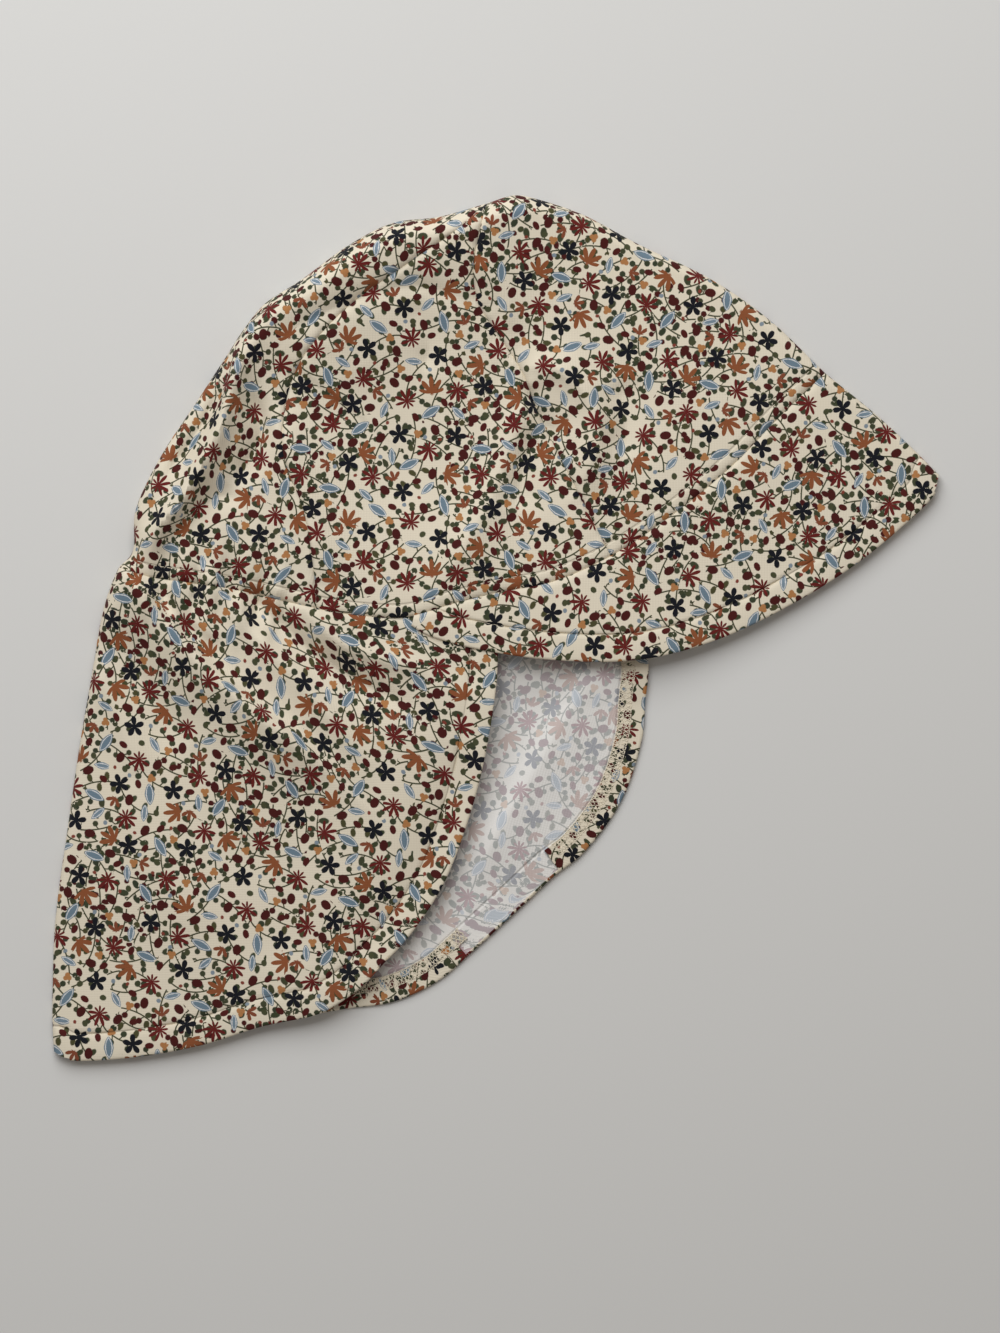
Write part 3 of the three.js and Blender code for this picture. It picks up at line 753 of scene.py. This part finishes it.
def set_out_motifs(rng):
    """Each motif goes where the most room is left, away from others of its kind."""
    rows = list(MOTIFS.values())
    order = sorted((-row[2], copy, kind) for kind, row in enumerate(rows) for copy in range(row[1]))
    spots, kinds = [rng.uniform(0, REPEAT, 2)], [order[0][2]]
    room = np.array([row[2] for row in rows])
    for _, _, kind in order[1:]:
        tries = rng.uniform(0, REPEAT, (MOTIF_TRIES, 2))
        gap = np.linalg.norm(wrapped(tries[:, None] - np.array(spots)), axis=-1)
        clear = (gap - room[kinds]).min(1) - room[kind]
        alike = np.where(np.array(kinds) == kind, gap, REPEAT).min(1)
        best = (np.minimum(clear, MOTIF_CLEAR) + ALIKE_WEIGHT * np.minimum(alike, ALIKE_REACH)).argmax()
        spots.append(tries[best])
        kinds.append(kind)
    return np.array(spots), np.array(kinds), rng.uniform(0, 2 * math.pi, len(kinds))


def set_out_stems(rng, starts):
    """Curved stems that grow from the large motifs. Columns of a point: x, y, heading, stem, walked"""
    points = []
    for stem, start in enumerate(starts):
        best = None
        for _ in range(STEM_TRIES):
            count = rng.integers(*STEM_COUNT)
            turn = rng.choice([-1, 1]) / rng.uniform(*STEM_CURVE)
            heading = rng.uniform(0, 2 * math.pi) + turn * STEM_STEP * np.arange(count)
            way = STEM_STEP * np.stack([np.cos(heading), np.sin(heading)], -1)
            path = start + np.cumsum(way, axis=0)
            clear = 0.0
            if points:
                taken = np.vstack(points)[:, :2]
                gap = np.linalg.norm(wrapped(path[STEM_BASE::3, None] - taken[::2]), axis=-1)
                clear = gap.min(1).mean()
            if best is None or clear > best[0]:
                best = (clear, path, heading)
        _, path, heading = best
        walked = STEM_STEP * np.arange(len(path))
        points.append(np.column_stack([path, heading, np.full(len(path), stem), walked]))
    return np.vstack(points)


def nearest_index(spots, room=None):
    """For each square of the repeat, the spot that is nearest to it once its room is taken off."""
    count = round(REPEAT / SPOT)
    middle = (np.arange(count) + 0.5) * SPOT
    found = np.empty((count, count), int)
    for row, y in enumerate(middle):
        far = np.hypot(wrapped(middle[:, None] - spots[:, 0]), wrapped(y - spots[:, 1]))
        found[row] = (far if room is None else far - room).argmin(1)
    return found


print_rng = np.random.default_rng(PRINT_SEED)
SPOTS, KINDS, TURNS = set_out_motifs(print_rng)
LARGE = np.flatnonzero(KINDS < LARGE_KINDS)
STEM_POINTS = set_out_stems(print_rng, SPOTS[print_rng.choice(LARGE, STEMS)])
STEM_LENGTHS = np.array([STEM_POINTS[STEM_POINTS[:, 3] == s][-1, 4] for s in range(STEMS)])
# Columns: pitch along the stem, distance from it, length over width
BERRIES = np.column_stack([
    print_rng.uniform(2.3, 3.0, STEMS),
    print_rng.uniform(1.7, 2.2, STEMS),
    print_rng.choice([1, 1, 1.6], STEMS),
])
MOTIF_AT = nearest_index(SPOTS, np.array([row[2] for row in MOTIFS.values()])[KINDS])


def stem_index():
    """For each square of the repeat, the point of a stem that it belongs to. Berries go with their stems."""
    spots, owners = [STEM_POINTS[:, :2]], [np.arange(len(STEM_POINTS))]
    for stem, (pitch, reach, _) in enumerate(BERRIES):
        own = np.flatnonzero(STEM_POINTS[:, 3] == stem)
        for berry in range(int(STEM_LENGTHS[stem] // pitch)):
            point = own[np.abs(STEM_POINTS[own, 4] - (berry + 0.5) * pitch).argmin()]
            heading = STEM_POINTS[point, 2]
            side = 1 - 2 * (berry % 2)
            across = np.array([[-math.sin(heading), math.cos(heading)]])
            spots.append(STEM_POINTS[point : point + 1, :2] + side * reach * across)
            owners.append([point])
    rooms = np.concatenate([np.full(len(STEM_POINTS), STEM_ROOM), np.full(len(spots) - 1, BERRY_ROOM)])
    return np.concatenate(owners)[nearest_index(np.vstack(spots), rooms)]


STEM_AT = stem_index()


def linear(hex_colour):
    """An sRGB hex colour as linear red, green, blue and alpha."""
    parts = [int(hex_colour[i : i + 2], 16) / 255 for i in (1, 3, 5)]
    return [c / 12.92 if c <= 0.04045 else ((c + 0.055) / 1.055) ** 2.4 for c in parts] + [1.0]


def turned(xy, angle):
    """Places turned by minus the angle."""
    cos, sin = np.cos(angle), np.sin(angle)
    return np.stack([cos * xy[..., 0] + sin * xy[..., 1], cos * xy[..., 1] - sin * xy[..., 0]], -1)


def set_print(piece, seed):
    """Tells each face which motif and which stem lie on it, and each corner where it is on them."""
    mesh = piece.data
    flat = np.empty(len(mesh.vertices) * 3, np.float32)
    mesh.attributes["flat"].data.foreach_get("vector", flat)
    corner_vertex = np.empty(len(mesh.loops), np.int32)
    mesh.loops.foreach_get("vertex_index", corner_vertex)
    first = np.empty(len(mesh.polygons), np.int32)
    mesh.polygons.foreach_get("loop_start", first)
    count = np.diff(np.append(first, len(corner_vertex)))
    face = np.repeat(np.arange(len(first)), count)
    rng = np.random.default_rng(seed)
    corner = turned(flat.reshape(-1, 3)[:, :2], rng.uniform(0, 6)) + rng.uniform(0, REPEAT, 2)
    corner = corner[corner_vertex].astype(float)
    centre = np.add.reduceat(corner, first) / count[:, None]
    square = (np.floor(centre / SPOT).astype(int)) % len(MOTIF_AT)

    motif = MOTIF_AT[square[:, 1], square[:, 0]]
    rows = np.array([row[1:] for row in MOTIFS.values()], float)[KINDS[motif]]
    inks = np.array([linear(row[0]) for row in MOTIFS.values()])[KINDS[motif]]
    off = wrapped(centre - SPOTS[motif])
    local = turned(corner - centre[face] + off[face], TURNS[motif][face])
    local[:, 1] *= rows[face, 8]
    local[:, 0] += rows[face, 9]
    note(mesh, "CORNER", motif=np.column_stack([local, np.zeros(len(local))]))
    note(mesh, "FACE", motif_ink=inks, motif_form=rows[:, 2:5], motif_size=rows[:, 5:8])

    point = STEM_POINTS[STEM_AT[square[:, 1], square[:, 0]]]
    stem = point[:, 3].astype(int)
    off = wrapped(centre - point[:, :2])
    local = turned(corner - centre[face] + off[face], point[face, 2])
    local[:, 0] += point[face, 4]
    note(mesh, "CORNER", stem=np.column_stack([local, STEM_LENGTHS[stem][face]]))
    inks = np.array([linear(ink) for ink in BERRY_INKS])[stem % len(BERRY_INKS)]
    note(mesh, "FACE", berry_form=BERRIES[stem], berry_ink=inks)


def add(tree, kind, *inputs, **settings):
    """Adds a node, whose operation may follow its kind, with its settings, inputs and links."""
    kind, *operation = kind.split()
    node = tree.nodes.new("ShaderNode" + kind)
    if operation:
        node.operation = operation[0]
    for name, value in settings.items():
        setattr(node, name, value)
    for socket, value in zip([s for s in node.inputs if s.enabled], inputs):
        if isinstance(value, bpy.types.NodeSocket):
            tree.links.new(value, socket)
        elif value is not None:
            socket.default_value = value
    return next(s for s in node.outputs if s.enabled)


def new_material(name, roughness, sheen=0.0):
    material = bpy.data.materials.new(name)
    material.use_nodes = True
    shader = material.node_tree.nodes["Principled BSDF"]
    shader.inputs["Roughness"].default_value = roughness
    shader.inputs["Sheen Weight"].default_value = sheen
    shader.inputs["Specular IOR Level"].default_value = 0.3
    return material, material.node_tree, shader


INK_EDGE = 0.08  # half the width over which an ink fades into the ground
VEIN_DEPTH = 0.52  # from a leaf's edge in to its pale line
VEIN_HALF = (0.1, 0.2)  # half the width of that line, and where it has faded out
STEM_HALF = (0.16, 0.32)  # the same of a stem
STALK_LEAN = 0.9  # how far a berry's stalk leans where it leaves the stem
BEHIND = (0.3, -0.2)  # a fan's petals are short where the cosine of their angle falls from one to the other
BEHIND_LOSS = 0.85  # share of their length that is gone there


def three(put, name):
    """The three numbers of an attribute, each as a socket."""
    return put("SeparateXYZ", put("Attribute", attribute_name=name)).node.outputs


def motif_layer(put, colour, wobble):
    """Draws each face's motif over a colour: petals of a polar curve, and a pale line in a leaf."""
    x, y, _ = three(put, "motif")
    petals, waist, power = three(put, "motif_form")
    radius, fan, vein = three(put, "motif_size")
    angle = put("Math ARCTAN2", y, x)
    out = put("VectorMath LENGTH", put("Attribute", attribute_name="motif"))

    half = put("Math MULTIPLY", put("Math MULTIPLY", angle, petals), 0.5)
    slit = put("Math ABSOLUTE", put("Math SINE", half))
    petal = put("Math ABSOLUTE", put("Math COSINE", half))
    petal = put("Mix", vein, petal, put("Math SUBTRACT", 1.0, slit))
    wave = put("Math POWER", petal, power)
    share = put("MapRange", wave, 0.0, 1.0, waist, 1.0)
    behind = put("MapRange", put("Math COSINE", angle), *BEHIND, 0.0, BEHIND_LOSS)
    open_share = put("Math SUBTRACT", 1.0, put("Math MULTIPLY", fan, behind))
    edge = put("Math MULTIPLY", put("Math MULTIPLY", radius, share), open_share)
    depth = put("Math SUBTRACT", put("Math ADD", edge, wobble), out)
    inside = put("MapRange", depth, -INK_EDGE, INK_EDGE, 0.0, 1.0)

    ring = put("Math ABSOLUTE", put("Math SUBTRACT", depth, VEIN_DEPTH))
    pale = put("Math MULTIPLY", put("MapRange", ring, *VEIN_HALF, 1.0, 0.0), vein)

    ink = put("Attribute", attribute_name="motif_ink")
    ink = put("Mix", pale, ink, linear(VEIN_INK), data_type="RGBA")
    return put("Mix", inside, colour, ink, data_type="RGBA")


def stem_layer(put, colour, wobble):
    """Draws each face's stem over a colour, with berries on short stalks to either side."""
    along, off, length = three(put, "stem")
    pitch, reach, longer = three(put, "berry_form")

    cell = put("Math FLOOR", put("Math DIVIDE", along, pitch))
    side = put("Math MULTIPLY_ADD", put("Math MODULO", cell, 2.0), -2.0, 1.0)
    middle = put("Math MULTIPLY", put("Math ADD", cell, 0.5), pitch)
    here = put("Math SUBTRACT", along, middle)
    up = put("Math MULTIPLY", off, side)
    line = put("MapRange", put("Math ABSOLUTE", off), *STEM_HALF, 1.0, 0.0)
    rest = put("MapRange", put("Math DIVIDE", up, reach), 0.0, 1.0, 1.0, 0.0)
    lean = put("Math MULTIPLY_ADD", put("Math MULTIPLY", rest, rest), STALK_LEAN, here)
    stalk = put("MapRange", put("Math ABSOLUTE", lean), *STEM_HALF, 1.0, 0.0)
    stalk = put("Math MULTIPLY", stalk, put("Math GREATER_THAN", up, 0.0))
    stalk = put("Math MULTIPLY", stalk, put("Math LESS_THAN", up, reach))
    within = put("Math GREATER_THAN", along, 0.0)
    within = put("Math MULTIPLY", within, put("Math LESS_THAN", along, length))
    drawn = put("Math MULTIPLY", put("Math MAXIMUM", line, stalk), within)
    colour = put("Mix", drawn, colour, linear(STEM_INK), data_type="RGBA")

    gap = put("Math DIVIDE", put("Math SUBTRACT", up, reach), longer)
    gap = put("VectorMath LENGTH", put("CombineXYZ", here, gap, 0.0))
    radius = put("Math MULTIPLY_ADD", reach, BERRY_SIZE, wobble)
    depth = put("Math SUBTRACT", radius, gap)
    berry = put("MapRange", depth, -INK_EDGE, INK_EDGE, 0.0, 1.0)
    berry = put("Math MULTIPLY", berry, within)
    ink = put("Attribute", attribute_name="berry_ink")
    return put("Mix", berry, colour, ink, data_type="RGBA")


GROUND = "#E9DEC8"
WALE = 0.9  # width of a knit stitch, drawn about twice as coarse as the real one so that it shows
COURSE = 0.8  # its height
LOOP_DEPTH = 0.03
GROOVE = 0.7  # half the width of the groove that a row of stitches draws
GROOVE_DEPTH = 0.6
GROOVE_SHADE = 0.46  # painted shade: share of the colour taken off in the groove, for the light that is lost there
SEAM_SHADE = 0.5  # painted shade: the same right at a seam, where the cloth turns in
SEAM_WIDTH = 0.8  # how far from a seam that painted shade reaches
INK_STRAY = 0.7  # how far an ink's edge strays
STRAY_SCALE = 0.9  # waves of that in each millimetre of cloth
PATCH_SCALE = 2.2  # the same of the ink's uneven depth
PATCH_SHADE = (0.94, 1.05)  # the colour times this, from its weakest to its strongest
JERSEY_ROUGHNESS = 0.9
JERSEY_SHEEN = 0.04


# Thin printed jersey: a matt, slightly downy knit whose print has crisp edges and slightly uneven ink.
# On its wrong side the ground is paler and only a soft ghost of the print comes through.
# Shade is painted into its colour along the groove of each row of stitches and right at the seams.
def printed_jersey(name, ground, strength, softened=1.0):
    material, tree, shader = new_material(name, JERSEY_ROUGHNESS, JERSEY_SHEEN)
    put = functools.partial(add, tree)
    flat = put("Attribute", attribute_name="flat")
    noise = put("TexNoise", flat, None, STRAY_SCALE, 2.0)
    wobble = put("Math MULTIPLY", put("Math SUBTRACT", noise, 0.5), INK_STRAY)
    colour = motif_layer(put, stem_layer(put, linear(GROUND), wobble), wobble)
    colour = put("Gamma", colour, softened)
    colour = put("Mix", strength, linear(ground), colour, data_type="RGBA")
    patchy = put("TexNoise", flat, None, PATCH_SCALE, 3.0)
    shade = put("MapRange", patchy, 0.25, 0.75, *PATCH_SHADE)
    past, from_seam, _ = three(put, "marks")
    soft = {"interpolation_type": "SMOOTHSTEP"}
    # Painted shade: the colour is darkened along the stitched grooves and at the seams; the groove also dents
    # the bump
    groove = put("MapRange", put("Math ABSOLUTE", past), 0.0, GROOVE, 1.0, 0.0, **soft)
    seam = put("MapRange", from_seam, 0.1, SEAM_WIDTH, 1.0, 0.0, **soft)
    shade = put("Math MULTIPLY_ADD", groove, -GROOVE_SHADE, shade)
    shade = put("Math MULTIPLY_ADD", seam, -SEAM_SHADE, shade)
    colour = put("VectorMath SCALE", colour, None, shade)
    tree.links.new(colour, shader.inputs["Base Color"])
    wale, course, _ = three(put, "flat")
    course = put("Math SINE", put("Math MULTIPLY", course, 2 * math.pi / COURSE))
    wale = put("Math SINE", put("Math MULTIPLY", wale, 2 * math.pi / WALE))
    loops = put("Math MULTIPLY_ADD", course, 0.5, wale)
    loops = put("Math MULTIPLY_ADD", groove, -GROOVE_DEPTH / LOOP_DEPTH, loops)
    bump = put("Bump", 0.5, LOOP_DEPTH * MM, None, loops)
    tree.links.new(bump, shader.inputs["Normal"])
    return material


def dress(piece, node):
    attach(piece, "root")
    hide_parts(node)


OUTSIDE = printed_jersey("printed_jersey", GROUND, 1.0)
WRONG_SIDE = printed_jersey("printed_jersey_wrong_side", "#EBECF0", 0.5, 0.6)

# Pieces. A cell is about the distance between two points of a sheet
UPPER_GORE_CELL, LOWER_GORE_CELL, BRIM_CELL, FLAP_CELL = 0.85, 1.9, 0.9, 1.2
pieces = {}
for gore_name in GORES:
    pieces[f"crown_{gore_name}_right"] = gore(gore_name, "right", "upper_gore", UPPER_GORE_CELL)
    pieces[f"crown_{gore_name}_left"] = gore(gore_name, "left", "lower_gore", LOWER_GORE_CELL)
pieces["brim"] = brim(BRIM_CELL)
pieces["neck_flap"] = neck_flap(FLAP_CELL)
for seed, (node, piece) in enumerate(pieces.items()):
    join([piece], piece.name)
    piece.data.materials.append(OUTSIDE)
    piece.data.materials.append(WRONG_SIDE)
    thicken(piece, up=not node.endswith("_left"))
    set_print(piece, seed)
    dress(piece, node)

# Rows of stitches
THREAD = 0.26  # diameter of the sewing thread, a little thicker than the real one so that it shows
STITCH = 2.6  # from one stitch to the next
STITCH_SHARE = 0.75  # of that shows as thread
COVER = 4.2  # width of the cover stitch that holds the hem on the wrong side
COVER_EDGE = HEM - 0.2  # its inner edge, from the outline
COVER_STITCH = 1.5
STITCH_CLEAR = 1.5  # stitches start this far from a fold
SEAM_CLEAR = 1.0  # and this far from the seam


def modelled_stitch():
    """One stitch, 1 long and 1 thick. Its ends dip into the cloth."""
    bpy.ops.mesh.primitive_circle_add(
        vertices=6, radius=0.3, fill_type="NGON", location=(-0.5, 0, -0.9), rotation=(0, math.pi / 2, 0),
    )
    bpy.ops.object.transform_apply(location=True, rotation=True, scale=True)
    stitch = bpy.context.object
    move, swell = bpy.ops.mesh.extrude_region_move, bpy.ops.transform.resize
    steps = []
    for along, up, size in [(0.12, 0.7, 1.66), (0.38, 0.2, 1.0), (0.38, -0.2, 1.0), (0.12, -0.7, 0.6)]:
        steps.append((move, {"TRANSFORM_OT_translate": {"value": (along, 0, up)}}))
        steps.append((swell, {"value": (1, size, size)}))
    edit(stitch, *steps)
    edit(stitch, (bpy.ops.mesh.normals_make_consistent, {"inside": False}))
    return stitch


def sew(stitch, name, rows):
    """One mesh of stitches. A row holds both their ends, the way out of the cloth and their thickness."""
    shape = np.array([list(v.co) for v in stitch.data.vertices])
    faces = [list(face.vertices) for face in stitch.data.polygons]
    points = []
    for starts, ends, out, thick in rows:
        way = ends - starts
        side = np.cross(out, way)
        side /= np.linalg.norm(side, axis=1, keepdims=True)
        up = np.cross(way, side)
        up /= np.linalg.norm(up, axis=1, keepdims=True)
        along = shape[:, 0, None] * way[:, None]
        across = thick * (shape[:, 1, None] * side[:, None] + shape[:, 2, None] * up[:, None])
        points.append((starts + ends)[:, None] / 2 + along + across)
    points = np.vstack(points).reshape(-1, 3)
    count = len(points) // len(shape)
    mesh = bpy.data.meshes.new(name)
    mesh.from_pydata(points, [], [[v + k * len(shape) for v in face] for k in range(count) for face in faces])
    write(mesh, points)
    piece = bpy.data.objects.new(name, mesh)
    bpy.context.collection.objects.link(piece)
    for face in mesh.polygons:
        face.use_smooth = True
    mesh.materials.append(SEWING_THREAD)
    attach(piece, "root")
    return piece


def on_layer(layer, xy, rise):
    """Places above the middle of a layer's cloth, by a rise towards its outside."""
    return place(layer, xy) + rise * out_of(layer, xy)


def stitch_row(layer, line, left, low, high, rise=CLOTH / 2):
    """A row of stitches beside a line, between two shares of it."""
    count = round(line.length * (high - low) / STITCH)
    start = low + (high - low) * np.arange(count) / count
    end = start + (high - low) / count * STITCH_SHARE
    a, b = line.beside(start, left), line.beside(end, left)
    clear = (FOLD_LINE.nearest(a)[0] > STITCH_CLEAR) & (SEWN_EDGE.nearest(a)[0] > SEAM_CLEAR)
    clear &= SEWN_EDGE.nearest(a)[2] == layer.endswith("gore")
    a, b = a[clear], b[clear]
    out = math.copysign(1, rise) * out_of(layer, a)
    return on_layer(layer, a, rise), on_layer(layer, b, rise), out, THREAD


def cover_rows(layer, line, side, low, high):
    """The cover stitch: two edges, and thread that zigzags between them."""
    count = round(line.length * (high - low) / COVER_STITCH)
    share = low + (high - low) * np.arange(count + 1) / count
    rise = -TURNED - CLOTH / 2
    inner, middle, outer = (line.beside(share, side * (COVER_EDGE - w)) for w in (0, COVER / 2, COVER))
    edges = [(inner[:-1], inner[1:]), (outer[:-1], outer[1:])]
    zigzag = [(inner, middle), (middle, outer), (outer, middle), (middle, inner)]
    zigzag = [(start[:-1], end[1:]) for start, end in zigzag]
    rows = []
    for pairs, thick in ((edges, 1.5 * THREAD), (zigzag, 1.3 * THREAD)):
        for a, b in pairs:
            rows.append((on_layer(layer, a, rise), on_layer(layer, b, rise), -out_of(layer, a), thick))
    return rows


# Sewing thread: twisted polyester, cream as the cloth's ground, with a slight sheen along each stitch.
SEWING_THREAD, thread_tree, thread_shader = new_material("sewing_thread", 0.6, 0.2)
twist = add(thread_tree, "TexNoise", add(thread_tree, "TexCoord").node.outputs["Object"], None, 2500.0, 2.0)
thread_colour = add(thread_tree, "Mix", twist, linear("#D9CBB0"), linear("#EFE6D2"), data_type="RGBA")
thread_tree.links.new(thread_colour, thread_shader.inputs["Base Color"])

stitch = modelled_stitch()
sew(stitch, "crown_topstitch_thread", [stitch_row("upper_gore", SEWN_EDGE, TOPSTITCH, 0.01, 0.99)])
sew(stitch, "brim_hem_thread", [
    stitch_row("upper_brim", LINES["brim_edge"], -HEM, 0.01, 0.96),
    stitch_row("lower_brim", LINES["brim_edge"], -HEM, 0.01, 0.96),
])
sew(stitch, "neck_flap_hem_thread", [
    stitch_row("upper_flap", LINES["upper_front"], -HEM, 0.08, 1),
    stitch_row("upper_flap", LINES["upper_hem"], HEM, 0.1, 0.98),
])
sew(stitch, "neck_flap_cover_thread", [
    *cover_rows("lower_flap", LINES["lower_front"], -1, 0.2, 0.86),
    *cover_rows("lower_flap", LINES["lower_hem"], 1, 0.45, 0.87),
])
bpy.data.objects.remove(stitch)

# Stage, light and camera
bpy.ops.mesh.primitive_plane_add(size=4)
table = bpy.context.object
table.name = "table"
top_material, _, top_shader = new_material("painted_tabletop", 0.6)
top_shader.inputs["Base Color"].default_value = linear("#DEDDDA")
table.data.materials.append(top_material)

world = bpy.data.worlds.new("room")
bpy.context.scene.world = world
world.use_nodes = True
room_light = world.node_tree.nodes["Background"].inputs
room_light["Color"].default_value = linear("#F2EBE4")
room_light["Strength"].default_value = 0.27
bpy.context.scene.view_settings.view_transform = "Standard"

bpy.ops.object.light_add(type="AREA", location=(-0.24, 0.78, 0.9))
window = bpy.context.object
window.name = "window_light"
window.data.size = 1.1
window.data.energy = 13.4
window.data.color = linear("#FBFDFF")[:3]
window.rotation_euler = (-window.location).to_track_quat("-Z", "Y").to_euler()

LENS = 135
SENSOR = 36
VIEW_CENTRE = (0.00126, -0.01261)
VIEW_HEIGHT = 0.4399
bpy.ops.object.camera_add(location=(*VIEW_CENTRE, VIEW_HEIGHT * LENS / SENSOR), rotation=(0, 0, 0))
camera = bpy.context.object
camera.data.lens = LENS
camera.data.sensor_width = SENSOR
bpy.context.scene.camera = camera
